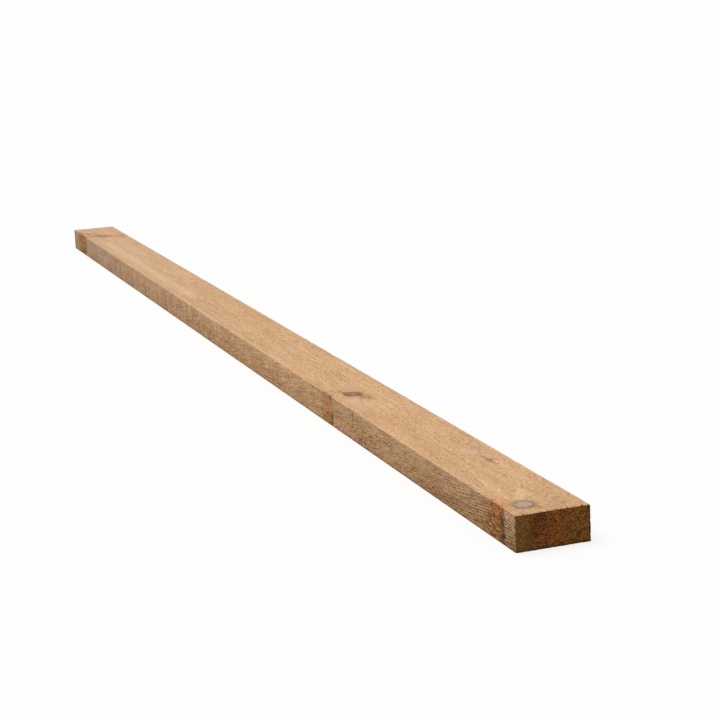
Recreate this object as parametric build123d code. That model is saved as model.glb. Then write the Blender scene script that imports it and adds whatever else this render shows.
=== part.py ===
from build123d import *
import os

# Sawn timber stud: one straight length of rough-sawn softwood, cut square at both ends.
# It lies on a wide face. X runs along the length, Y across the width and Z up through the
# thickness. The origin is on the underside, below the middle of the piece.

# Sawn size, in millimetres
length = 2700.0  # crosscut length, one of the stock lengths that step by 300
width = 100.0  # across the wide faces
thickness = 47.0  # across the narrow faces

# Edges, in millimetres
arris_radius = 1.2  # the four long arrises, sawn sharp and rubbed down by handling
end_break = 0.5  # the crosscut edges, where the saw leaves a small torn bevel

node_name = "stud"


def sawn_section():
    """The section off the resaw: width along Y, thickness up from the floor."""
    cut_plane = Plane(origin=(-length / 2, 0, thickness / 2), x_dir=(0, 1, 0), z_dir=(1, 0, 0))
    return cut_plane * RectangleRounded(width, thickness, arris_radius)


def crosscut(section):
    """The section run out to the crosscut length, from the -X end to the +X end."""
    return extrude(section, amount=length, dir=(1, 0, 0))


def break_end_edges(batten):
    """A small bevel round both crosscut faces, over the flats and the rounded arrises alike."""
    end_faces = batten.faces().filter_by(Axis.X)
    return chamfer(end_faces.edges(), end_break)


stud = break_end_edges(crosscut(sawn_section()))

os.makedirs("parts", exist_ok=True)
export_step(stud, os.path.join("parts", node_name + ".step"))

box = stud.bounding_box()
print(node_name, "solids", len(stud.solids()), "volume litres", round(stud.volume / 1e6, 4))
print("size", [round(side, 3) for side in box.size], "lowest z", round(abs(box.min.Z), 4))
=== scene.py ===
import math
from typing import NamedTuple

import bpy
from mathutils import Matrix, Vector


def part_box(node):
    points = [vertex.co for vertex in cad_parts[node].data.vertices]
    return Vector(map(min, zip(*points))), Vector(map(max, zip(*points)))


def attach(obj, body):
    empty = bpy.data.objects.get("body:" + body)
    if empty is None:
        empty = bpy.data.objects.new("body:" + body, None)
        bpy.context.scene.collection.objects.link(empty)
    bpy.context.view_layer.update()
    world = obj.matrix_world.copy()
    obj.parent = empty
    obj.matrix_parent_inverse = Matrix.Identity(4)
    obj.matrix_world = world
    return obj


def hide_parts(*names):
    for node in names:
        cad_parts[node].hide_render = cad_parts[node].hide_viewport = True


bl_info = {
    "name": "Sawn Timber Stud",
    "version": (1, 0, 0),
    "blender": (4, 5, 0),
    "location": "3D View > Sidebar > Timber",
    "description": "Saws a rough timber stud with its knots, grain, stains and torn ends",
    "category": "Add Mesh",
}

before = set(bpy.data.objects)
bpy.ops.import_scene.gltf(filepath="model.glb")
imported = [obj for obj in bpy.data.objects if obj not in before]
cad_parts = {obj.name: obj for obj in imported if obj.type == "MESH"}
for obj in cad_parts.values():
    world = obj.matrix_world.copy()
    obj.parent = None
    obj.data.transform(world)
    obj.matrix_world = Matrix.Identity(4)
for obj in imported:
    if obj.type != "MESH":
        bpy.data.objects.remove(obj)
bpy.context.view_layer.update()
LOW, HIGH = (Vector(corner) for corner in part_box("stud"))

MM = 0.001
NODE = "stud"

HALF_LENGTH = (HIGH.x - LOW.x) / 2
HALF_WIDTH = (HIGH.y - LOW.y) / 2
HALF_THICKNESS = (HIGH.z - LOW.z) / 2
MIDDLE = (LOW + HIGH) / 2
TOP = round((HIGH.z - LOW.z) / MM, 3)  # height of the top face, in millimetres
BACK = round((HIGH.y - LOW.y) / MM, 3)  # how far in the back narrow face lies, in millimetres


def spot(along, across, up):
    """A place in the frame, from millimetres along from the near end, in from the front face and up."""
    return Vector((HIGH.x - along * MM, LOW.y + across * MM, LOW.z + up * MM))


def from_near_end(x):
    """How far a place lies from the near end, in millimetres."""
    return (HIGH.x - x) / MM


def above_floor(z):
    """How high a place lies above the underside, in millimetres."""
    return (z - LOW.z) / MM


# How the tree grew: the pith runs below the underside, near the front face, and the branches climb
# away from the near end as they leave it.

PITH = (20.0, -25.0)  # across and up, in millimetres
PITH_WANDER = 20 * MM  # how far the pith strays across
BRANCH_CLIMB = 0.45  # travel along the stem for each unit out from the pith


class Knot(NamedTuple):
    """A branch's trace: where its middle leaves the wood, and its radius there, in millimetres."""

    place: tuple
    radius: float
    grey: float  # how grey it is, from 0 to 1


# The last three are on the hidden narrow face
KNOTS = (
    Knot((36.5, 28.5, TOP), 14.5, 0.25),
    Knot((673, 35, TOP), 13.0, 1.0),
    Knot((2560, 26.5, TOP), 10.0, 0.1),
    Knot((237, 72.4, TOP), 2.8, 0.9),
    Knot((1089, 78.8, TOP), 2.0, 0.4),
    Knot((705, BACK, 33), 9.5, 0.6),
    Knot((1312, BACK, 21), 11.0, 0.3),
    Knot((1940, BACK, 30), 13.0, 0.8),
)


class Stain(NamedTuple):
    """A ragged stain drawn from one place to another, in millimetres."""

    start: tuple
    end: tuple
    half_width: float
    strength: float


# Brown resin beside the knots and in the small scars
RESIN_STAINS = (
    Stain((17, 43, TOP), (24, 39, TOP), 5.5, 0.9),
    Stain((3, 45, TOP), (3, 56, TOP), 4.5, 0.7),
    Stain((66, 16, TOP), (46, 10, TOP), 8, 0.4),
    Stain((2, 6, TOP), (2, 24, TOP), 5, 0.3),
    Stain((565, 20, TOP), (515, 20, TOP), 12, 0.2),
    Stain((2240, 3, TOP), (2160, 3, TOP), 6, 0.25),
    Stain((662, 45, TOP), (645, 47.5, TOP), 11, 1.6),
    Stain((642, 49, TOP), (628, 52, TOP), 8.5, 0.5),
    Stain((705, 26, TOP), (690, 24, TOP), 7, 0.6),
    Stain((712, 12, TOP), (690, 15, TOP), 6, 0.5),
    Stain((2548, 50, TOP), (2526, 80, TOP), 30, 0.55),
    Stain((2622, 5, TOP), (2590, 20, TOP), 7, 0.8),
    Stain((2650, 2, TOP), (2622, 5, TOP), 6, 0.6),
    Stain((46, 0, 6), (84, 0, 1), 12, 0.6),
    Stain((33, 0, 3), (35, 0, 19), 8, 0.6),
    Stain((678, 0, 3), (712, 0, 8), 12, 0.5),
    Stain((258, 69, TOP), (238, 73, TOP), 3.5, 0.9),
    Stain((238, 70, TOP), (214, 74, TOP), 3.5, 0.9),
    Stain((153, 90, TOP), (150, 92, TOP), 2.5, 0.8),
    Stain((87, 85, TOP), (84, 86, TOP), 2.5, 0.7),
    Stain((284, 0, 7.6), (266, 0, 7), 4, 0.9),
    Stain((230, 0, 5), (217, 0, 5.5), 4, 0.9),
    Stain((1130, 97, TOP), (500, 97, TOP), 5, 0.35),
)

# Dark olive brown at the edges of the greyer knots
OLIVE_STAINS = (
    Stain((688, 27, TOP), (670, 28, TOP), 6.5, 1),
    Stain((676, 44, TOP), (660, 42, TOP), 6.5, 0.9),
    Stain((2562, 38, TOP), (2532, 46, TOP), 21, 0.55),
    Stain((2612, 12, TOP), (2590, 22, TOP), 6, 0.8),
    Stain((2604, 30, TOP), (2585, 36, TOP), 5, 0.6),
    Stain((722, 0, 20), (712, 0, 30), 8, 0.3),
    Stain((39, 0, 3), (39, 0, 24), 7, 0.45),
    Stain((2551, 0, 14), (2551, 0, 44), 10, 0.9),
)

# Blue-grey spot on the near end
BLUE_STAINS = (Stain((0, 83, 10), (0, 86, 14), 3, 1),)

# Greyed wood over the far knot and in worn spots
GREY_STAINS = (
    Stain((2585, 24, TOP), (2540, 30, TOP), 12, 1),
    Stain((303, 61, TOP), (276, 68, TOP), 8, 0.6),
    Stain((1098, 78, TOP), (1080, 80, TOP), 5, 0.4),
)

# Pale wood that swirls behind the knots and runs towards the far end
PALE_STAINS = (
    Stain((60, 34, TOP), (92, 50, TOP), 9, 0.7),
    Stain((95, 20, TOP), (150, 26, TOP), 9, 0.5),
    Stain((640, 20, TOP), (560, 16, TOP), 10, 0.4),
    Stain((1600, 28, TOP), (2420, 30, TOP), 11, 0.5),
    Stain((1340, 3, TOP), (1480, 3, TOP), 6, 0.6),
    Stain((300, 62, TOP), (280, 67, TOP), 9, 0.5),
)

# Rosy wood along the front arris of the top face
ROSE_STAINS = (
    Stain((125, 14, TOP), (54, 8, TOP), 9, 0.7),
    Stain((610, 20, TOP), (470, 12, TOP), 14, 0.6),
    Stain((950, 8, TOP), (780, 14, TOP), 10, 0.6),
    Stain((2260, 3, TOP), (1980, 3, TOP), 6, 0.7),
    Stain((2650, 7, TOP), (2560, 7, TOP), 8, 0.7),
)


class Flare(NamedTuple):
    """Torn orange grain over a branch on the narrow face, sharp at its start, in millimetres."""

    start: float
    strong: float
    end: float
    strength: float
    paling: float  # how pale the wood is before the start


FLARES = (
    Flare(33.5, 45.0, 116.0, 1.0, 0.0),
    Flare(671.0, 694.0, 740.0, 0.54, 0.3),
    Flare(2564.0, 2604.0, 2664.0, 0.82, 0.0),
)


class Score(NamedTuple):
    """A thin dark line across the narrow face, from one height to another, in millimetres."""

    along: float
    low: float
    high: float
    half_width: float
    slant: float  # how far it moves along for each unit up


SCORES = (
    Score(35.5, 0.0, 34.0, 8.5, 0.05),
    Score(39.5, 2.0, 27.0, 10.0, 0.0),
    Score(674.0, 0.0, 22.0, 7.5, 0.05),
    Score(580.5, 19.0, 45.0, 4.2, -0.06),
    Score(2554.0, 8.0, 36.0, 9.0, 0.1),
)


# Sockets that can be used in arithmetic, for the trees of shapes and finishes alike


class Signal:
    """A node's output. Each arithmetic operator adds one Math node to its tree."""

    def __init__(self, graph, socket):
        self.graph = graph
        self.socket = socket

    def __add__(self, other):
        return self.graph.maths("ADD", self, other)

    __radd__ = __add__

    def __sub__(self, other):
        return self.graph.maths("SUBTRACT", self, other)

    def __rsub__(self, other):
        return self.graph.maths("SUBTRACT", other, self)

    def __mul__(self, other):
        return self.graph.maths("MULTIPLY", self, other)

    __rmul__ = __mul__

    def __truediv__(self, other):
        return self.graph.maths("DIVIDE", self, other)

    def __rtruediv__(self, other):
        return self.graph.maths("DIVIDE", other, self)


SEED_SHIFT = (7.3, 3.1, 5.7)  # how far each seed moves a noise, in sizes of its features


class Graph:
    """Adds nodes to one tree."""

    def __init__(self, tree):
        self.tree = tree

    def add(self, kind, settings=None, sockets=None, output=0):
        """Adds a node, sets its settings, then fills its sockets, and gives one of its outputs."""
        node = self.tree.nodes.new(kind)
        for name, value in (settings or {}).items():
            setattr(node, name, value)
        for key, value in (sockets or {}).items():
            self.fill(pick(node.inputs, key), value)
        return Signal(self, pick(node.outputs, output))

    def fill(self, socket, value):
        """Links a signal to a socket, or sets the socket to a plain value."""
        if isinstance(value, Signal):
            self.tree.links.new(value.socket, socket)
        else:
            socket.default_value = value

    def maths(self, operation, *terms):
        """A Math node."""
        return self.add("ShaderNodeMath", {"operation": operation}, dict(enumerate(terms)))

    def vector(self, operation, *terms, output="Vector"):
        """A Vector Math node."""
        return self.add("ShaderNodeVectorMath", {"operation": operation}, dict(enumerate(terms)), output)

    def scaled(self, vector, by):
        """A vector times a number."""
        sockets = {0: vector, "Scale": by}
        return self.add("ShaderNodeVectorMath", {"operation": "SCALE"}, sockets, "Vector")

    def parts(self, vector):
        """The X, Y and Z of a vector."""
        first = self.add("ShaderNodeSeparateXYZ", sockets={0: vector})
        return [Signal(self, output) for output in first.socket.node.outputs]

    def joined(self, x, y, z):
        """A vector made of three numbers."""
        return self.add("ShaderNodeCombineXYZ", sockets={0: x, 1: y, 2: z})

    def step(self, value, low, high, to_low=0.0, to_high=1.0):
        """A smooth step between two values."""
        sockets = {"Value": value, "From Min": low, "From Max": high, "To Min": to_low, "To Max": to_high}
        return self.add("ShaderNodeMapRange", {"interpolation_type": "SMOOTHSTEP"}, sockets, "Result")

    def noise(self, place, size, detail=2.0, roughness=0.5, seed=0.0):
        """Noise about 0, whose features have the given size in metres along each axis."""
        shift = tuple(seed * part for part in SEED_SHIFT)
        sockets = {0: place, 1: tuple(1 / side for side in size), 2: shift}
        spread = self.add("ShaderNodeVectorMath", {"operation": "MULTIPLY_ADD"}, sockets, "Vector")
        sockets = {"Vector": spread, "Scale": 1.0, "Detail": detail, "Roughness": roughness}
        return self.add("ShaderNodeTexNoise", None, sockets) - 0.5

    def mix(self, share, first, second, blend="MIX"):
        """The second colour laid over the first, in the given share."""
        settings = {"data_type": "RGBA", "blend_type": blend}
        sockets = {"Factor_Float": share, "A_Color": first, "B_Color": second}
        return self.add("ShaderNodeMix", settings, sockets, "Result_Color")


def pick(sockets, key):
    """A socket by its number, its identifier or its name."""
    if isinstance(key, int):
        return sockets[key]
    for socket in sockets:
        if socket.identifier == key:
            return socket
    return sockets[key]


def along_step(graph, x, stretch, to_low=0.0, to_high=1.0):
    """A smooth step along the stud, over a stretch given in metres from the near end."""
    start, full = stretch
    return graph.step(x, HIGH.x - start, HIGH.x - full, to_low, to_high)


# The wood inside


class Wood(NamedTuple):
    """What the wood is like at a place."""

    flow: Signal  # the place, with the fibres drawn round the knots made straight
    ring: Signal  # distance out from the pith through the growth rings, in metres
    rim: Signal  # distance out from the nearest knot's edge, in metres
    core: Signal  # distance from the nearest knot's middle, where 1 is its edge
    grey: Signal  # how grey the nearest knot is


RING_LIFT = 0.32  # how far a knot lifts the rings beside it, as a share of its radius
LIFT_FADE = 0.9  # over what distance the lift fades, as a share of its radius
FLOW_STRETCH = 1.9  # how much longer than wide the swirl round a knot is
FLOW_SOFT = 0.35  # keeps the swirl smooth at a knot's middle


def wood_at(graph, place):
    """Works out the wood at a place: fibres flow round each knot, and rings rise over it."""
    flow, lift, rim, core, grey = place, 0.0, None, None, 0.0
    pith = spot(0, *PITH)
    for knot in KNOTS:
        leaves = spot(*knot.place)
        distance = math.hypot(leaves.y - pith.y, leaves.z - pith.z)
        heart = Vector((leaves.x + BRANCH_CLIMB * distance, pith.y, pith.z))
        way = (leaves - heart).normalized()
        side = Vector((1, 0, 0)).cross(way).normalized()
        taper = knot.radius * MM / (leaves - heart).length
        offset = graph.vector("SUBTRACT", place, heart)
        out = graph.vector("DOT_PRODUCT", offset, way, output="Value")
        radius = graph.maths("MAXIMUM", out * taper, MM / 2)
        beside = graph.vector("SUBTRACT", offset, graph.scaled(way, out))
        near = graph.vector("LENGTH", beside, output="Value")
        long_way = graph.vector("MULTIPLY", beside, (1 / FLOW_STRETCH, 1, 1))
        swirl = graph.vector("LENGTH", long_way, output="Value")
        square = radius * radius
        push = graph.vector("DOT_PRODUCT", beside, side, output="Value") * square
        push = push / (swirl * swirl + square * FLOW_SOFT)
        flow = graph.vector("SUBTRACT", flow, graph.scaled(side, push))
        lift = lift + radius * RING_LIFT * graph.maths("EXPONENT", (radius - swirl) / (radius * LIFT_FADE))
        rim = near - radius if rim is None else graph.maths("MINIMUM", rim, near - radius)
        core = near / radius if core is None else graph.maths("MINIMUM", core, near / radius)
        grey = grey + graph.step(near / radius, 1.6, 1.2) * knot.grey
    wander = graph.noise(place, (0.9, 1.0, 1.0), detail=1.0, seed=3.0) * PITH_WANDER
    _, y, z = graph.parts(flow)
    out = graph.joined(0.0, y - pith.y + wander, z - pith.z)
    ring = graph.vector("LENGTH", out, output="Value") - lift
    return Wood(flow, ring, rim, core, grey)


class Faces(NamedTuple):
    """Distances in from the stud's faces, in metres, and how much a place belongs to each narrow face."""

    end: Signal
    side: Signal
    flat: Signal
    front: Signal
    back: Signal


FACE_BLEND = 0.3 * MM  # half the width over which one face's finish turns into the next


def faces_at(graph, place):
    """The nearest face wins, so that the bottom of a torn or cracked spot still belongs to its face."""
    offset = graph.vector("SUBTRACT", place, MIDDLE)
    x, y, z = graph.parts(graph.vector("ABSOLUTE", offset))
    end, side, flat = HALF_LENGTH - x, HALF_WIDTH - y, HALF_THICKNESS - z
    narrow = graph.step(flat - side, -FACE_BLEND, FACE_BLEND)
    back = graph.step(graph.parts(offset)[1], -MM, MM)
    return Faces(end, side, flat, narrow * (1 - back), narrow * back)


RING_WIDTH = 2.9 * MM
FRONT_SLOPE = 0.095  # how steeply the grain climbs along the narrow faces


def late_wood(graph, place, wood, faces):
    """The dark late wood of each ring: 0 in early wood, up to 1 just inside a ring's sharp edge."""
    x = graph.parts(place)[0]
    climb = (x - HIGH.x) * FRONT_SLOPE * (faces.back - faces.front)
    uneven = graph.noise(wood.flow, (0.3, 0.011, 0.011), detail=3.0, roughness=0.6, seed=5.0) * 6 * MM
    turns = (wood.ring + climb + uneven) / RING_WIDTH
    share = graph.maths("FRACT", turns)
    return graph.step(share, 0.25, 0.8) * graph.step(share, 1.0, 0.93)


def ragged_at(graph, wood, detail, roughness=0.5):
    """Noise along the fibres, which frays the edges of stains, flares and knots."""
    return graph.noise(wood.flow, (0.014, 0.004, 0.004), detail, roughness, seed=61.0)


def notches_at(graph, place):
    """Noise for the small notches torn along the edges."""
    return graph.noise(place, (0.012, 0.0032, 0.0032), detail=2.0, seed=32.0)


def stains(graph, place, chosen, ragged):
    """How strongly the chosen stains cover a place."""
    cover = 0.0
    for stain in chosen:
        start, end = spot(*stain.start), spot(*stain.end)
        run = end - start
        offset = graph.vector("SUBTRACT", place, start)
        share = graph.vector("DOT_PRODUCT", offset, run / run.length_squared, output="Value")
        share = graph.add("ShaderNodeClamp", None, {"Value": share})
        off_line = graph.vector("SUBTRACT", offset, graph.scaled(tuple(run), share))
        distance = graph.vector("LENGTH", off_line, output="Value") / (stain.half_width * MM)
        cover = cover + graph.step(distance + ragged * 2, 1.1, 0.3) * stain.strength
    return graph.maths("MINIMUM", cover, 1.0)


def flares(graph, place, ragged):
    """How strongly the torn orange grain covers a place on or near the front narrow face."""
    x, y, _ = graph.parts(place)
    crumbs = graph.noise(place, (0.006, 0.006, 0.004), detail=2.0, roughness=0.8, seed=65.0)
    along = from_near_end(x) + ragged * 30.0 + crumbs * 12.0
    near_front = graph.step(y + ragged * 6 * MM, LOW.y + 7 * MM, LOW.y + 1 * MM)
    cover = 0.0
    for flare in FLARES:
        sharp = graph.step(along, flare.start - 3.0, flare.start + 3.0)
        fade = graph.step(along, flare.end, flare.strong)
        cover = cover + sharp * fade * flare.strength
    return cover * near_front


def pale_bands(graph, place, faces, ragged):
    """The pale greyish wood before a flare, on the near side of its sharp start."""
    x, _, z = graph.parts(place)
    along = from_near_end(x) + ragged * 22.0
    cover = 0.0
    for flare in FLARES:
        fade = graph.step(along + above_floor(z) * 1.5, flare.start - 10.0, flare.start + 45.0)
        cover = cover + fade * graph.step(along, flare.start + 1.0, flare.start - 1.5) * flare.paling
    return cover * faces.front


def scores(graph, place, faces, ragged):
    """The thin dark lines across the front narrow face."""
    x, _, z = graph.parts(place)
    along, up = from_near_end(x), above_floor(z)
    cover = 0.0
    for score in SCORES:
        off = along - score.along - up * score.slant + ragged * 2 * score.half_width
        line = graph.step(graph.maths("ABSOLUTE", off), score.half_width, 0.0)
        span = graph.step(up + ragged * 8, score.low - 2.0, score.low + 3.0)
        span = span * graph.step(up + ragged * 8, score.high + 2.0, score.high - 3.0)
        cover = cover + line * span
    dots = graph.step(graph.noise(place, (0.03, 0.03, 0.005), detail=2.0, seed=68.0), -0.2, 0.08)
    return cover * faces.front * dots


SAW_PITCH = 14 * MM
SAW_WANDER = 20 * MM  # how far the marks stray from even steps
SAW_CLOSING = (0.9, 1.3)  # where the groups of marks run together, in metres from the near end
SAW_DEEPENING = (0.7, 1.2)  # where the marks come up to full strength, in metres from the near end


def saw_marks(graph, place):
    """The scratches that the saw left straight across the grain, in uneven groups."""
    x = graph.parts(place)[0]
    wobble = graph.noise(place, (0.09, 0.4, 0.1), detail=1.0, seed=13.0) * SAW_WANDER
    teeth = graph.maths("SINE", (x + wobble) * (2 * math.pi / SAW_PITCH))
    close = graph.noise(place, (0.018, 0.40, 0.16), detail=3.0, roughness=0.7, seed=11.0) * 0.75
    groups = graph.step(graph.noise(place, (0.12, 0.12, 0.12), detail=1.0, seed=12.0), -0.2, 0.1)
    groups = graph.maths("MAXIMUM", groups, along_step(graph, x, SAW_CLOSING) * 0.8)
    return (close + teeth * 0.11) * groups * along_step(graph, x, SAW_DEEPENING, to_low=0.3)


# The shape


class ShapeSettings(bpy.types.PropertyGroup):
    """Sizes that a user would change on the stud's shape."""

    cells_along: bpy.props.IntProperty(
        name="Cells along", description="Mesh cells along the length", default=440, min=8
    )
    cells_across: bpy.props.IntProperty(
        name="Cells across", description="Mesh cells over a wide face", default=70, min=8
    )
    cells_up: bpy.props.IntProperty(
        name="Cells up", description="Mesh cells over a narrow face", default=34, min=8
    )
    arris: bpy.props.FloatProperty(
        name="Arris radius",
        description="Rounding of the long edges",
        default=1.2 * MM,
        unit="LENGTH",
        precision=4,
    )
    end_break: bpy.props.FloatProperty(
        name="End break",
        description="Rounding of the crosscut edges",
        default=0.5 * MM,
        unit="LENGTH",
        precision=4,
    )
    saw_depth: bpy.props.FloatProperty(
        name="Saw depth",
        description="How deep the rough sawing cuts below the nominal faces",
        default=0.5 * MM,
        unit="LENGTH",
        precision=4,
    )
    tear_depth: bpy.props.FloatProperty(
        name="Tear depth",
        description="How deep the fibres are torn out along the edges",
        default=1.6 * MM,
        unit="LENGTH",
        precision=4,
    )


RIM_CELLS = 2  # cells that each rounded edge takes from a face
END_CROWDING = 0.4  # how much closer the cells lie towards the ends
WHORLS = (677.0, 1310.0, 1940.0, 2552.0)  # where cells gather round the knots, in millimetres along
WHORL_REACH = 75 * MM  # how far along from a whorl the cells move
WHORL_CROWDING = 0.55  # how much closer the cells lie there
TEAR_REACH = 3.2 * MM  # how far in from an edge fibres are torn out


def half_run(graph, coordinate, cells, half, radius, crowding=0.0):
    """Spreads one axis of the unit box over the stud: its inner place, and its place in the rim."""
    size = graph.maths("ABSOLUTE", coordinate) * 2
    inner_share = 1 - 2 * RIM_CELLS / cells
    within = graph.add("ShaderNodeMapRange", None, {"Value": size, "From Max": inner_share}, "Result")
    wave = graph.maths("SINE", within * math.pi) * (crowding / math.pi)
    sockets = {"Value": size, "From Min": inner_share, "From Max": 1.0}
    rim = graph.add("ShaderNodeMapRange", None, sockets, "Result")
    sign = graph.maths("SIGN", coordinate)
    return sign * (within + wave) * (half - radius), sign * rim


def gathered(graph, x):
    """Draws the cells along the stud closer together round its whorls of knots."""
    shift = 0.0
    for whorl in WHORLS:
        off = (x - (HALF_LENGTH - whorl * MM)) / WHORL_REACH
        shift = shift + off * graph.maths("EXPONENT", 0 - off * off)
    held = graph.step(graph.maths("ABSOLUTE", x), HALF_LENGTH - 5 * MM, HALF_LENGTH - 120 * MM)
    return x - shift * held * (WHORL_REACH * WHORL_CROWDING)


def relief_at(graph, place, out, settings):
    """How far the surface lies below the nominal faces, in metres."""
    wood = wood_at(graph, place)
    faces = faces_at(graph, place)
    late = late_wood(graph, place, wood, faces)
    wander = graph.noise(place, (0.16, 0.035, 0.035), detail=2.0, seed=21.0)
    ripple = graph.noise(place, (0.011, 0.16, 0.05), detail=1.0, seed=22.0)
    fibre = graph.noise(wood.flow, (0.06, 0.0035, 0.0035), detail=2.0, seed=23.0)
    on_end, on_side, _ = graph.parts(graph.vector("MULTIPLY", out, out))
    inside = graph.step(wood.rim, 0.4 * MM, -0.6 * MM)
    groove = graph.step(graph.maths("ABSOLUTE", wood.rim), 3.2 * MM, 0.3 * MM)
    torn = graph.step(graph.noise(wood.flow, (0.035, 0.006, 0.006), seed=24.0), 0.10, 0.3)
    ragged = ragged_at(graph, wood, detail=1.0)
    plucked = graph.noise(wood.flow, (0.018, 0.0075, 0.0075), detail=1.0, seed=62.0)
    burst = flares(graph, place, ragged * 0.5) * graph.step(plucked, -0.15, 0.2)
    crack = scores(graph, place, faces, ragged)
    depth = 0.55 - wander * 0.7 - ripple * 0.8 - fibre * 0.6 - late * (on_side * 0.25 + on_end * 0.3)
    depth = depth + torn * 0.5 + groove * 0.8 - inside * 0.45 + burst * 1.2 + crack * 1.6
    held = graph.step(graph.parts(place)[2], LOW.z + 1 * MM, LOW.z + 5 * MM, 0.25, 1.0)
    return graph.maths("MAXIMUM", depth, 0.0) * held * settings["Saw depth"]


def tearing_at(graph, place, settings):
    """Fibres torn out along the edges: a vector in towards the wood."""
    faces = faces_at(graph, place)
    close = [graph.step(distance, TEAR_REACH, 0.0) for distance in (faces.end, faces.side, faces.flat)]
    middle = close[0] * close[1] + close[1] * close[2] + close[2] * close[0]
    edge = graph.step(middle, 0.0, 1.0)
    coarse = graph.step(graph.noise(place, (0.03, 0.012, 0.012), detail=2.0, seed=31.0), 0.05, 0.32)
    fine = graph.step(notches_at(graph, place), -0.1, 0.3)
    crosscut = graph.step(faces.end, 4 * MM, 1 * MM)
    x, y, z = graph.parts(graph.vector("SIGN", graph.vector("SUBTRACT", place, MIDDLE)))
    depth = edge * (coarse * 0.55 + fine * (0.12 + crosscut * 0.85)) * settings["Tear depth"]
    depth = depth * (0.65 + z * 0.35)
    inward = graph.joined(x * close[0] * -0.7, y * close[1] * -0.8, z * close[2] * -1.0)
    return graph.scaled(inward, depth)


def named_inputs(tree, settings):
    """Adds the tree's named inputs, and gives the value of each by its socket's identifier."""
    sizes = {
        "Cells along": ("NodeSocketInt", settings.cells_along),
        "Cells across": ("NodeSocketInt", settings.cells_across),
        "Cells up": ("NodeSocketInt", settings.cells_up),
        "Arris radius": ("NodeSocketFloat", settings.arris),
        "End break": ("NodeSocketFloat", settings.end_break),
        "Saw depth": ("NodeSocketFloat", settings.saw_depth),
        "Tear depth": ("NodeSocketFloat", settings.tear_depth),
    }
    chosen = {}
    for name, (kind, value) in sizes.items():
        socket = tree.interface.new_socket(name, in_out="INPUT", socket_type=kind)
        chosen[socket.identifier] = value
    return chosen


def smooth_stud(graph, given):
    """Where the unit box's points lie on the smooth stud, and which way is out over its rounded edges."""
    unit = graph.parts(graph.add("GeometryNodeInputPosition"))
    runs = [
        half_run(graph, unit[0], given["Cells along"], HALF_LENGTH, given["End break"], END_CROWDING),
        half_run(graph, unit[1], given["Cells across"], HALF_WIDTH, given["Arris radius"]),
        half_run(graph, unit[2], given["Cells up"], HALF_THICKNESS, given["Arris radius"]),
    ]
    inner = [inner for inner, rim in runs]
    core = graph.joined(gathered(graph, inner[0]), inner[1], inner[2])
    out = graph.vector("NORMALIZE", graph.joined(*(rim for inner, rim in runs)))
    radii = graph.joined(given["End break"], given["Arris radius"], given["Arris radius"])
    place = graph.vector("ADD", core, graph.vector("MULTIPLY", out, radii))
    return graph.vector("ADD", place, MIDDLE), out


def stud_tree(settings, finish):
    """The tree that saws the stud: a box of cells, rounded at its edges, then roughened and torn."""
    tree = bpy.data.node_groups.new("Saw a stud", "GeometryNodeTree")
    tree.interface.new_socket("Geometry", in_out="OUTPUT", socket_type="NodeSocketGeometry")
    chosen = named_inputs(tree, settings)
    graph = Graph(tree)
    group = tree.nodes.new("NodeGroupInput")
    given = {socket.name: Signal(graph, socket) for socket in group.outputs if socket.name}
    counts = {
        "Size": (1.0, 1.0, 1.0),
        "Vertices X": given["Cells along"] + 1,
        "Vertices Y": given["Cells across"] + 1,
        "Vertices Z": given["Cells up"] + 1,
    }
    box = graph.add("GeometryNodeMeshCube", None, counts, "Mesh")
    place, out = smooth_stud(graph, given)
    sunk = graph.scaled(out, 0 - relief_at(graph, place, out, given))
    rough = graph.vector("ADD", place, sunk)
    rough = graph.vector("ADD", rough, tearing_at(graph, place, given))
    sawn = graph.add("GeometryNodeSetPosition", None, {"Geometry": box, "Position": rough})
    smooth = graph.add("GeometryNodeSetShadeSmooth", None, {"Geometry": sawn, "Shade Smooth": True})
    real = graph.add("GeometryNodeRealizeInstances", None, {"Geometry": smooth})
    dressed = graph.add("GeometryNodeSetMaterial", None, {"Geometry": real, "Material": finish})
    end = tree.nodes.new("NodeGroupOutput")
    tree.links.new(dressed.socket, end.inputs["Geometry"])
    return tree, chosen


def grown_by_nodes(name, tree, chosen):
    """Runs a tree on an empty mesh and keeps the result as a plain mesh object."""
    piece = bpy.data.objects.new(name, bpy.data.meshes.new(name))
    bpy.context.scene.collection.objects.link(piece)
    modifier = piece.modifiers.new(name, "NODES")
    modifier.node_group = tree
    for identifier, value in chosen.items():
        modifier[identifier] = value
    grown = piece.evaluated_get(bpy.context.evaluated_depsgraph_get())
    mesh = bpy.data.meshes.new_from_object(grown)
    piece.modifiers.remove(modifier)
    piece.data = mesh
    mesh.name = name
    return piece


# The finish


def colour(name, description, value):
    """A colour property, in linear light."""
    return bpy.props.FloatVectorProperty(
        name=name,
        description=description,
        subtype="COLOR",
        size=4,
        min=0.0,
        max=1.0,
        default=(*value, 1.0),
    )


def cleared(owner):
    """Gives a material or a world an empty tree for its own nodes."""
    owner.use_nodes = True
    owner.node_tree.nodes.clear()
    return Graph(owner.node_tree)


def shown(graph, kind, surface):
    """Ends a tree in its output node."""
    output = graph.tree.nodes.new(kind)
    graph.fill(output.inputs["Surface"], surface)


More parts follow.
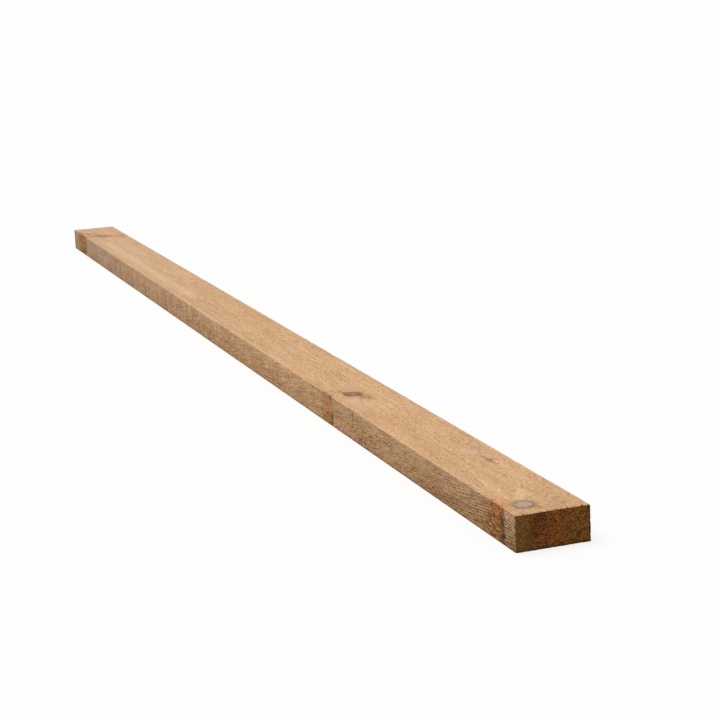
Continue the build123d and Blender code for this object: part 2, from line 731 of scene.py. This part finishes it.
class FinishSettings(bpy.types.PropertyGroup):
    """Colours that a user would change on the stud's wood."""

    pale: colour("Pale wood", "Early wood on a wide face", (0.875, 0.560, 0.322))
    dark: colour("Dark wood", "Late wood and dark fibres", (0.33, 0.150, 0.058))
    rose: colour("Rosy wood", "Pink mottling", (0.72, 0.345, 0.205))
    straw: colour("Straw wood", "Yellow and olive mottling", (0.62, 0.445, 0.165))
    # Painted shade: darkens the colour of the narrow faces, which face away from the key light, together
    # with their slightly greyer sawn wood
    side_shade_tint: colour("Side tint", "Darkening of the narrow faces", (0.845, 0.825, 0.755))
    # Besides the late wood, the saw marks and the darker stretches, this also colours the painted contact
    # shadow along the bottom edge of the narrow faces
    late_wood_and_shadow_tint: colour("Late tint", "Darkening of the late wood", (0.42, 0.34, 0.25))
    resin: colour("Resin", "Brown stain beside the knots", (0.33, 0.130, 0.040))
    olive: colour("Olive", "Dark stain beside the knots", (0.20, 0.125, 0.050))
    # Also paints the highlight along the long top edges
    cream: colour("Cream", "Pale swirls beside the knots", (0.90, 0.66, 0.40))
    flare: colour("Flare", "Tint of the torn red-brown grain over a branch", (0.87, 0.47, 0.20))
    flare_gold: colour("Golden flare", "Tint of its lower, golden part", (0.98, 0.72, 0.21))
    flare_dark: colour("Dark flare", "Dark specks in the torn grain", (0.075, 0.028, 0.010))
    mauve: colour("Mauve wood", "Greyed upper part of the narrow faces", (0.47, 0.32, 0.22))
    blue: colour("Blue stain", "Dark bluish spot on an end", (0.030, 0.024, 0.022))
    ash: colour("Ash", "Pale grey, greyed wood", (0.58, 0.45, 0.38))
    grey: colour("Grey wood", "Weathered grey patches", (0.46, 0.37, 0.24))
    knot: colour("Knot", "Middle of a pale knot", (0.56, 0.40, 0.30))
    knot_grey: colour("Grey knot", "Middle of a grey knot", (0.275, 0.205, 0.150))
    knot_rim: colour("Knot rim", "Dark ring round a knot", (0.155, 0.095, 0.048))
    score: colour("Score", "Dark lines across the grain", (0.055, 0.030, 0.014))
    end_pale: colour("End grain", "Orange fibres of the crosscut ends", (0.415, 0.120, 0.014))
    # Also paints the contact shadow along the bottom edge of the ends
    end_dark_and_shadow: colour("Dark end grain", "Late wood on the crosscut ends", (0.050, 0.016, 0.003))
    end_olive: colour("Olive end grain", "Olive part of the crosscut ends", (0.355, 0.155, 0.014))
    end_grey: colour("Grey end grain", "Weathered part of the crosscut ends", (0.185, 0.088, 0.026))


# Where along the stud its colour changes, in metres from the near end: the start, then the full change
COARSE_GRAIN = (0.75, 0.50)
DUSKY_SIDE = (0.75, 0.35)
BOLD_LINES = (0.50, 0.00)
INKY_LINES = (0.20, 0.02)
PALE_START = (0.55, 0.75)
PALE_FINISH = (1.90, 1.50)
PALE_STRIP = (0.042, 0.028)
NEAR_SHADE = (0.070, 0.015)
FAR_SHADE = (1.80, 2.40)
GREYING = (1.00, 2 * HALF_LENGTH)

END_RUN = 4.5 * MM  # how far the colour of a crosscut end runs along the torn edges


def side_flow(graph, flow, faces):
    """The flow with the grain of the narrow faces made level, so that fibres climb there."""
    x, y, z = graph.parts(flow)
    return graph.joined(x, y, z + (x - HIGH.x) * FRONT_SLOPE * (faces.back - faces.front))


def fibres_at(graph, flow):
    """Fine fibres along the grain."""
    return graph.noise(flow, (0.032, 0.0015, 0.0015), detail=4.0, roughness=0.8, seed=41.0)


def fuzz_at(graph, place):
    """The short torn fibres that rough sawing leaves standing."""
    return graph.noise(place, (0.0100, 0.0026, 0.0026), detail=4.0, roughness=0.9, seed=43.0)


def grain_colour(graph, place, flow, side, mottle, finish):
    """Dark to pale fibres, with rosy and straw-coloured mottling over them."""
    near = along_step(graph, graph.parts(place)[0], COARSE_GRAIN)
    streak = graph.noise(flow, (0.20, 0.007, 0.007), detail=4.0, roughness=0.65, seed=42.0)
    cloud = graph.noise(flow, (0.13, 0.030, 0.030), detail=3.0, roughness=0.6, seed=47.0)
    flecks = graph.noise(flow, (0.011, 0.0022, 0.0022), detail=2.0, roughness=0.6, seed=69.0)
    tone = 0.60 + fibres_at(graph, flow) * (1.1 + side * 1.1) + streak * 0.6
    tone = tone + fuzz_at(graph, place) * (3.1 + side * (1.3 + near * 2.4))
    tone = tone + cloud * (0.6 + side * (0.3 + near * 0.5))
    tone = tone + mottle * (0.6 + side * (0.35 + near * 0.55))
    tone = graph.step(tone + 0.03 - graph.step(flecks, 0.10, 0.24) * 0.45, -0.1, 1.1)
    base = graph.mix(tone, finish.dark, finish.pale)
    rosy = graph.noise(place, (0.050, 0.009, 0.009), detail=5.0, roughness=0.8, seed=44.0)
    yellow = graph.noise(place, (0.055, 0.010, 0.010), detail=5.0, roughness=0.8, seed=45.0)
    base = graph.mix(graph.step(rosy, -0.05, 0.18) * 0.65, base, finish.rose)
    return graph.mix(graph.step(yellow, -0.05, 0.18) * 0.65, base, finish.straw)


def shaded(graph, place, side, upper, base, finish):
    """Lightens and darkens whole stretches of the stud."""
    x, y, z = graph.parts(place)
    light = along_step(graph, x, PALE_START) * along_step(graph, x, PALE_FINISH)
    light = light + along_step(graph, x, PALE_STRIP)
    base = graph.mix(upper * (0.30 - light * 0.30), base, finish.mauve)
    base = graph.mix(upper * light * 0.15, base, finish.cream)
    low = graph.step(z, LOW.z + 30 * MM, LOW.z + 4 * MM) * side
    near_side = along_step(graph, x, DUSKY_SIDE) * (side - upper * 0.6)
    far_side = (along_step(graph, x, FAR_SHADE) + graph.step(x, LOW.x + 60 * MM, LOW.x + 45 * MM)) * side
    far_rims = graph.step(graph.maths("ABSOLUTE", y), 18 * MM, 44 * MM)
    far_rims = far_rims * graph.step(x, LOW.x + 240 * MM, LOW.x + 160 * MM)
    top_ends = (along_step(graph, x, NEAR_SHADE) * 0.13 + far_rims * 0.14) * (1 - side)
    for shade in (low * 0.21, near_side * 0.17, far_side * 0.14, top_ends):
        base = graph.mix(shade, base, finish.late_wood_and_shadow_tint, "MULTIPLY")
    return base


def lined(graph, place, flow, late, side, upper, base, finish):
    """Draws the late wood: faint on the wide faces, and as dark broken lines on the narrow ones."""
    x = graph.parts(place)[0]
    broken = graph.step(graph.noise(flow, (0.03, 0.003, 0.003), detail=3.0, seed=46.0), -0.2, 0.2)
    clumps = graph.step(graph.noise(flow, (0.012, 0.004, 0.004), detail=2.0, seed=49.0), -0.2, 0.15)
    bold = along_step(graph, x, BOLD_LINES) * (side - upper * 0.7) * clumps
    inky = along_step(graph, x, INKY_LINES) * side * clumps
    base = graph.mix(late * (0.12 + side * 0.74) * broken, base, finish.late_wood_and_shadow_tint, "MULTIPLY")
    base = graph.mix(late * bold * 0.9, base, finish.late_wood_and_shadow_tint, "MULTIPLY")
    return graph.mix(late * inky * 0.6, base, finish.score)


def weathered_with_painted_light(graph, place, faces, side, base, finish):
    """Adds the saw marks, the greying towards the far end, a painted highlight with worn pale fibres along
    the long top edges, and a painted contact shadow along the bottom edge of the narrow faces.
    """
    x, _, z = graph.parts(place)
    fuzz = fuzz_at(graph, place)
    marks = graph.step(saw_marks(graph, place), 0.0, 0.18) * (0.2 + side * 0.6)
    base = graph.mix(marks, base, finish.late_wood_and_shadow_tint, "MULTIPLY")
    base = graph.mix(along_step(graph, x, GREYING) * 0.16, base, finish.ash)
    # Painted highlight along the rounded long top edges, together with worn pale fibres there
    edge_highlight_and_wear = graph.step(faces.side + fuzz * 6 * MM, 2.8 * MM, 1.2 * MM) * (1 - side)
    base = graph.mix(edge_highlight_and_wear * graph.step(z, MIDDLE.z, HIGH.z) * 0.12, base, finish.cream)
    # Painted contact shadow along the bottom edge of the narrow faces
    contact_shadow_rim = graph.step(z + fuzz * 3 * MM, LOW.z + 3.2 * MM, LOW.z + 1.6 * MM) * side
    return graph.mix(contact_shadow_rim * 0.8, base, finish.late_wood_and_shadow_tint, "MULTIPLY")


def wood_colour(graph, place, wood, late, faces, finish):
    """The colour of the long faces, before knots, stains and end grain."""
    flow = side_flow(graph, wood.flow, faces)
    side = faces.front + faces.back
    mottle = graph.noise(flow, (0.080, 0.0085, 0.0085), detail=4.0, roughness=0.8, seed=48.0)
    z = graph.parts(place)[2]
    upper = graph.step(z + mottle * 0.08, LOW.z + 24 * MM, LOW.z + 42 * MM) * side
    base = grain_colour(graph, place, flow, side, mottle, finish)
    # Painted shade over the narrow faces, with their slightly greyer sawn wood
    base = graph.mix(side, base, finish.side_shade_tint, "MULTIPLY")
    base = shaded(graph, place, side, upper, base, finish)
    base = lined(graph, place, flow, late, side, upper, base, finish)
    return weathered_with_painted_light(graph, place, faces, side, base, finish)


def end_colour(graph, place, late, finish):
    """The colour of the crosscut ends: open fibres, a dark band, ring arcs, olive and grey sides, a darker
    back edge and a painted contact shadow along the bottom edge.
    """
    _, y, z = graph.parts(place)
    speck = graph.noise(place, (0.0026, 0.0026, 0.0026), detail=3.0, roughness=0.85, seed=51.0)
    grit = graph.noise(place, (0.0014, 0.0014, 0.0014), detail=1.0, seed=55.0)
    crumb = graph.noise(place, (0.0060, 0.0060, 0.0060), detail=4.0, roughness=0.85, seed=54.0)
    cloud = graph.noise(place, (0.02, 0.016, 0.022), detail=3.0, roughness=0.6, seed=52.0)
    patch = graph.noise(place, (0.02, 0.010, 0.013), detail=4.0, roughness=0.8, seed=53.0)
    tone = 0.43 + speck * 3.6 + grit * 3.6 + crumb * 0.9 + cloud * 0.5
    tone = graph.step(tone + graph.step(z, LOW.z + 24 * MM, LOW.z + 4 * MM) * 0.08, -0.1, 1.1)
    warm = graph.mix(tone, finish.end_dark_and_shadow, finish.end_pale)
    green = graph.mix(tone, finish.end_dark_and_shadow, finish.end_olive)
    right = graph.step(y + patch * 0.06, LOW.y + 50 * MM, LOW.y + 86 * MM)
    left = graph.step(y + patch * 0.05, LOW.y + 32 * MM, LOW.y + 8 * MM)
    greenness = graph.maths("MAXIMUM", right * 0.7, left * 0.8) + graph.step(patch, 0.0, 0.15) * 0.35
    base = graph.mix(graph.maths("MINIMUM", greenness, 1.0), warm, green)
    base = graph.mix(left * 0.5, base, finish.end_grey)
    base = graph.mix(late * 0.35, base, finish.end_dark_and_shadow)
    off_band = graph.maths("ABSOLUTE", y - z * 0.35 + cloud * 0.015 - (LOW.y + 18 * MM))
    band = graph.step(off_band, 12 * MM, 3 * MM) * graph.step(z, LOW.z + 4 * MM, LOW.z + 20 * MM)
    base = graph.mix(band * 0.5, base, finish.end_dark_and_shadow)
    # Darker along the back edge of the end, and a painted contact shadow along its bottom edge
    back_rim = graph.step(y, HIGH.y - 3.2 * MM, HIGH.y - 1.6 * MM)
    contact_shadow_rim = graph.step(z, LOW.z + 2.6 * MM, LOW.z + 1.2 * MM)
    return graph.mix(graph.maths("MAXIMUM", back_rim, contact_shadow_rim) * 0.8, base, finish.end_dark_and_shadow)


def end_reach(graph, place, faces, ragged):
    """How much a place belongs to the crosscut ends, whose colour runs along the torn edges."""
    inset = graph.maths("MINIMUM", faces.side, faces.flat) - faces.end
    inset = inset + ragged * 2.0 * MM + graph.step(notches_at(graph, place), 0.02, 0.2) * END_RUN
    return graph.step(inset, -FACE_BLEND, FACE_BLEND)


def stained(graph, place, ragged, base, finish):
    """Lays over the wood the stains that pass under the knots."""
    layers = (
        (GREY_STAINS, 0.55, finish.ash),
        (PALE_STAINS, 0.5, finish.cream),
        (ROSE_STAINS, 0.5, finish.rose),
    )
    for chosen, share, tint in layers:
        base = graph.mix(stains(graph, place, chosen, ragged) * share, base, tint)
    speckled = graph.noise(place, (0.007, 0.0035, 0.0035), detail=3.0, roughness=0.8, seed=63.0)
    resin = stains(graph, place, RESIN_STAINS, ragged) * graph.step(speckled, -0.15, 0.12)
    return graph.mix(resin * 0.9, base, finish.resin)


def torn(graph, place, wood, flare, base, finish):
    """Tints the torn grain red-brown above and golden below, and speckles it dark."""
    mottled = graph.noise(wood.flow, (0.012, 0.0055, 0.0055), detail=4.0, roughness=0.8, seed=62.0)
    specks = graph.noise(place, (0.0075, 0.0036, 0.0036), detail=3.0, roughness=0.8, seed=67.0)
    z = graph.parts(place)[2]
    golden = graph.step(z + mottled * 0.06, LOW.z + 36 * MM, LOW.z + 12 * MM)
    tint = graph.mix(golden, finish.flare, finish.flare_gold)
    base = graph.mix(flare * 0.9, base, tint, "MULTIPLY")
    low = graph.step(z, LOW.z + 20 * MM, LOW.z + 2 * MM)
    dark = graph.step(mottled + specks + low * 0.06, 0.0, 0.09) * 0.92
    return graph.mix(graph.maths("MINIMUM", flare * 1.35, 1.0) * dark, base, finish.flare_dark)


def knotted(graph, place, wood, ragged, inside, base, finish):
    """Lays the knots over the wood: a brown halo, then a heart with its year rings and dark rim."""
    halo = graph.step(wood.rim + ragged * 6 * MM, 7.0 * MM, 0.0)
    ring = graph.step(graph.maths("ABSOLUTE", wood.core - 0.90 + ragged * 0.5), 0.26, 0.04)
    grains = graph.noise(place, (0.005, 0.003, 0.003), detail=3.0, roughness=0.8, seed=66.0)
    years = graph.step(graph.maths("FRACT", wood.core * 5 + ragged * 3), 0.55, 0.95)
    shine = graph.step(grains, 0.03, -0.12) * (1 - wood.grey)
    heart = graph.mix(wood.grey, finish.knot, finish.knot_grey)
    heart = graph.mix(graph.step(grains, 0.0, 0.2) * 0.5 + years * 0.22, heart, finish.knot_rim)
    heart = graph.mix(shine * 0.3, heart, finish.cream)
    heart = graph.mix(ring * (0.56 + wood.grey * 0.26 + ragged * 1.6), heart, finish.knot_rim)
    base = graph.mix(halo * 0.4, base, finish.resin)
    return graph.mix(inside * 0.92, base, heart)


def timber_finish(finish):
    """The stud's one material, from its wood colour to its surface roughness."""
    material = bpy.data.materials.new("Rough sawn treated softwood")
    graph = cleared(material)
    place = graph.add("ShaderNodeTexCoord", output="Object")
    faces = faces_at(graph, place)
    wood = wood_at(graph, place)
    late = late_wood(graph, place, wood, faces)
    ragged = ragged_at(graph, wood, detail=4.0, roughness=0.7)
    flare = flares(graph, place, ragged)
    inside = graph.step(wood.rim + ragged * 2.5 * MM, 1.2 * MM, -1.6 * MM)

    base = wood_colour(graph, place, wood, late * (1 - flare * 0.8), faces, finish)
    base = graph.mix(pale_bands(graph, place, faces, ragged) * 0.45, base, finish.grey)
    base = stained(graph, place, ragged, base, finish)
    base = torn(graph, place, wood, flare, base, finish)
    base = knotted(graph, place, wood, ragged, inside, base, finish)
    base = graph.mix(stains(graph, place, OLIVE_STAINS, ragged) * 0.8, base, finish.olive)
    ends = end_colour(graph, place, late, finish)
    ends = graph.mix(stains(graph, place, BLUE_STAINS, ragged) * 0.7, ends, finish.blue)
    base = graph.mix(end_reach(graph, place, faces, ragged), base, ends)
    base = graph.mix(scores(graph, place, faces, ragged) * 0.85, base, finish.score)

    side = faces.front + faces.back
    fuzz = fuzz_at(graph, place)
    fibre = fibres_at(graph, side_flow(graph, wood.flow, faces))
    height = fibre * 0.7 + fuzz * 0.7 + saw_marks(graph, place) * 0.5 - late * (0.05 + side * 0.25)
    bump = graph.add("ShaderNodeBump", None, {"Strength": 0.8, "Distance": 1.0, "Height": height * MM})
    sockets = {
        "Base Color": base,
        "Roughness": 0.88 - inside * 0.12 + fuzz * 0.1,
        "Specular IOR Level": 0.2,
        "Normal": bump,
    }
    surface = graph.add("ShaderNodeBsdfPrincipled", None, sockets, "BSDF")
    shown(graph, "ShaderNodeOutputMaterial", surface)
    return material


# The stage


class StageSettings(bpy.types.PropertyGroup):
    """The studio: floor, light and the camera at the photo's viewing angle."""

    floor: colour("Floor", "Plain pale floor", (0.95, 0.95, 0.95))
    floor_white: bpy.props.FloatProperty(
        name="Floor white",
        description="Share of plain white that the camera sees on the floor",
        default=0.82,
        min=0.0,
        max=1.0,
        subtype="FACTOR",
    )
    sun: bpy.props.FloatProperty(
        name="Key light",
        description="Strength of the soft light overhead",
        default=2.15,
        min=0.0,
    )
    sky: bpy.props.FloatProperty(
        name="Fill light",
        description="Strength of the even light all round",
        default=0.36,
        min=0.0,
    )
    camera_place: bpy.props.FloatVectorProperty(
        name="Camera",
        description="Where the camera stands",
        subtype="TRANSLATION",
        unit="LENGTH",
        size=3,
        default=(3.24604, -0.89399, 0.70961),
    )
    camera_azimuth: bpy.props.FloatProperty(
        name="Azimuth",
        description="Way the camera looks, seen from above",
        subtype="ANGLE",
        default=math.radians(70.827),
    )
    camera_elevation: bpy.props.FloatProperty(
        name="Elevation",
        description="Angle that the camera looks down",
        subtype="ANGLE",
        default=math.radians(12.658),
    )
    camera_roll: bpy.props.FloatProperty(
        name="Roll",
        description="Turn of the camera about its view",
        subtype="ANGLE",
        default=math.radians(-2.696),
    )
    camera_lens: bpy.props.FloatProperty(
        name="Lens",
        description="Focal length on a 36 mm frame",
        subtype="DISTANCE_CAMERA",
        default=91.27,
    )


WHITE = (1.0, 1.0, 1.0, 1.0)
FLOOR_SIZE = 120.0
FRAME_WIDTH = 36.0  # of the camera, in millimetres
KEY_AIM = Vector((0.25, 0.30, -1.0))  # the way the key light shines
KEY_SPREAD = math.radians(50)  # how wide the key light is, for soft shadows


def white_to_camera(graph, surface, share):
    """Shows plain white to the camera, and in mirror and see-through rays, in the given share."""
    names = ("Is Camera Ray", "Is Glossy Ray", "Is Transmission Ray")
    camera, glossy, through = (graph.add("ShaderNodeLightPath", output=name) for name in names)
    seen = graph.maths("MAXIMUM", graph.maths("MAXIMUM", camera, glossy), through)
    white = graph.add("ShaderNodeEmission", None, {"Color": WHITE, "Strength": 1.0})
    return graph.add("ShaderNodeMixShader", None, {0: seen * share, 1: surface, 2: white})


def floor_finish(stage):
    """A plain pale floor that keeps the stud's shadow."""
    material = bpy.data.materials.new("Pale floor")
    graph = cleared(material)
    matt = graph.add("ShaderNodeBsdfDiffuse", None, {"Color": stage.floor})
    shown(graph, "ShaderNodeOutputMaterial", white_to_camera(graph, matt, stage.floor_white))
    return material


def lit_world(stage):
    """Even light all round, plain white to the camera."""
    world = bpy.data.worlds.new("Studio")
    graph = cleared(world)
    glow = graph.add("ShaderNodeBackground", None, {"Color": WHITE, "Strength": stage.sky})
    shown(graph, "ShaderNodeOutputWorld", white_to_camera(graph, glow, 1.0))
    return world


# Operators


class TIMBER_OT_saw_stud(bpy.types.Operator):
    """Saws the stud and gives it its wood"""

    bl_idname = "timber.saw_stud"
    bl_label = "Saw the stud"

    def execute(self, context):
        scene = context.scene
        finish = timber_finish(scene.timber_finish)
        stud = grown_by_nodes("sawn_stud", *stud_tree(scene.timber_shape, finish))
        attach(stud, "root")
        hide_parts(NODE)
        return {"FINISHED"}


class TIMBER_OT_set_stage(bpy.types.Operator):
    """Lays the floor, hangs the lights and stands the camera where the photo was taken"""

    bl_idname = "timber.set_stage"
    bl_label = "Set the stage"

    def execute(self, context):
        scene = context.scene
        stage = scene.timber_stage
        self.lay_floor(scene, stage)
        self.hang_lights(scene, stage)
        self.stand_camera(scene, stage)
        scene.view_settings.view_transform = "Standard"
        return {"FINISHED"}

    def lay_floor(self, scene, stage):
        mesh = bpy.data.meshes.new("floor")
        half = FLOOR_SIZE / 2
        signs = ((-1, -1), (1, -1), (1, 1), (-1, 1))
        corners = [(x * half, y * half, LOW.z) for x, y in signs]
        mesh.from_pydata(corners, [], [(0, 1, 2, 3)])
        mesh.materials.append(floor_finish(stage))
        floor = bpy.data.objects.new("floor", mesh)
        scene.collection.objects.link(floor)

    def hang_lights(self, scene, stage):
        scene.world = lit_world(stage)
        light = bpy.data.lights.new("key", "SUN")
        light.energy = stage.sun
        light.angle = KEY_SPREAD
        key = bpy.data.objects.new("key", light)
        key.rotation_mode = "QUATERNION"
        key.rotation_quaternion = KEY_AIM.to_track_quat("-Z", "Y")
        scene.collection.objects.link(key)

    def stand_camera(self, scene, stage):
        data = bpy.data.cameras.new("camera")
        data.lens = stage.camera_lens
        data.sensor_width = FRAME_WIDTH
        data.clip_end = 2 * FLOOR_SIZE
        camera = bpy.data.objects.new("camera", data)
        azimuth, elevation = stage.camera_azimuth, stage.camera_elevation
        flat = math.cos(elevation)
        ahead = Vector((-math.sin(azimuth) * flat, math.cos(azimuth) * flat, -math.sin(elevation)))
        turn = ahead.to_track_quat("-Z", "Y").to_matrix() @ Matrix.Rotation(stage.camera_roll, 3, "Z")
        camera.matrix_world = Matrix.Translation(stage.camera_place) @ turn.to_4x4()
        scene.collection.objects.link(camera)
        scene.camera = camera


class TIMBER_PT_sidebar(bpy.types.Panel):
    """Lists the stud's steps and settings in the sidebar"""

    bl_label = "Timber Stud"
    bl_idname = "TIMBER_PT_sidebar"
    bl_space_type = "VIEW_3D"
    bl_region_type = "UI"
    bl_category = "Timber"

    def draw(self, context):
        scene = context.scene
        for operator in OPERATORS:
            self.layout.operator(operator.bl_idname)
        for settings in (scene.timber_shape, scene.timber_finish, scene.timber_stage):
            box = self.layout.box()
            for name in settings.__annotations__:
                box.prop(settings, name)


OPERATORS = (TIMBER_OT_saw_stud, TIMBER_OT_set_stage)
SETTINGS = {
    "timber_shape": ShapeSettings,
    "timber_finish": FinishSettings,
    "timber_stage": StageSettings,
}


def register():
    for cls in (*SETTINGS.values(), *OPERATORS, TIMBER_PT_sidebar):
        bpy.utils.register_class(cls)
    for name, cls in SETTINGS.items():
        setattr(bpy.types.Scene, name, bpy.props.PointerProperty(type=cls))


def unregister():
    for name in SETTINGS:
        delattr(bpy.types.Scene, name)
    for cls in (TIMBER_PT_sidebar, *reversed(OPERATORS), *reversed(SETTINGS.values())):
        bpy.utils.unregister_class(cls)


def main():
    register()
    bpy.ops.timber.saw_stud()
    bpy.ops.timber.set_stage()


if __name__ == "__main__":
    main()
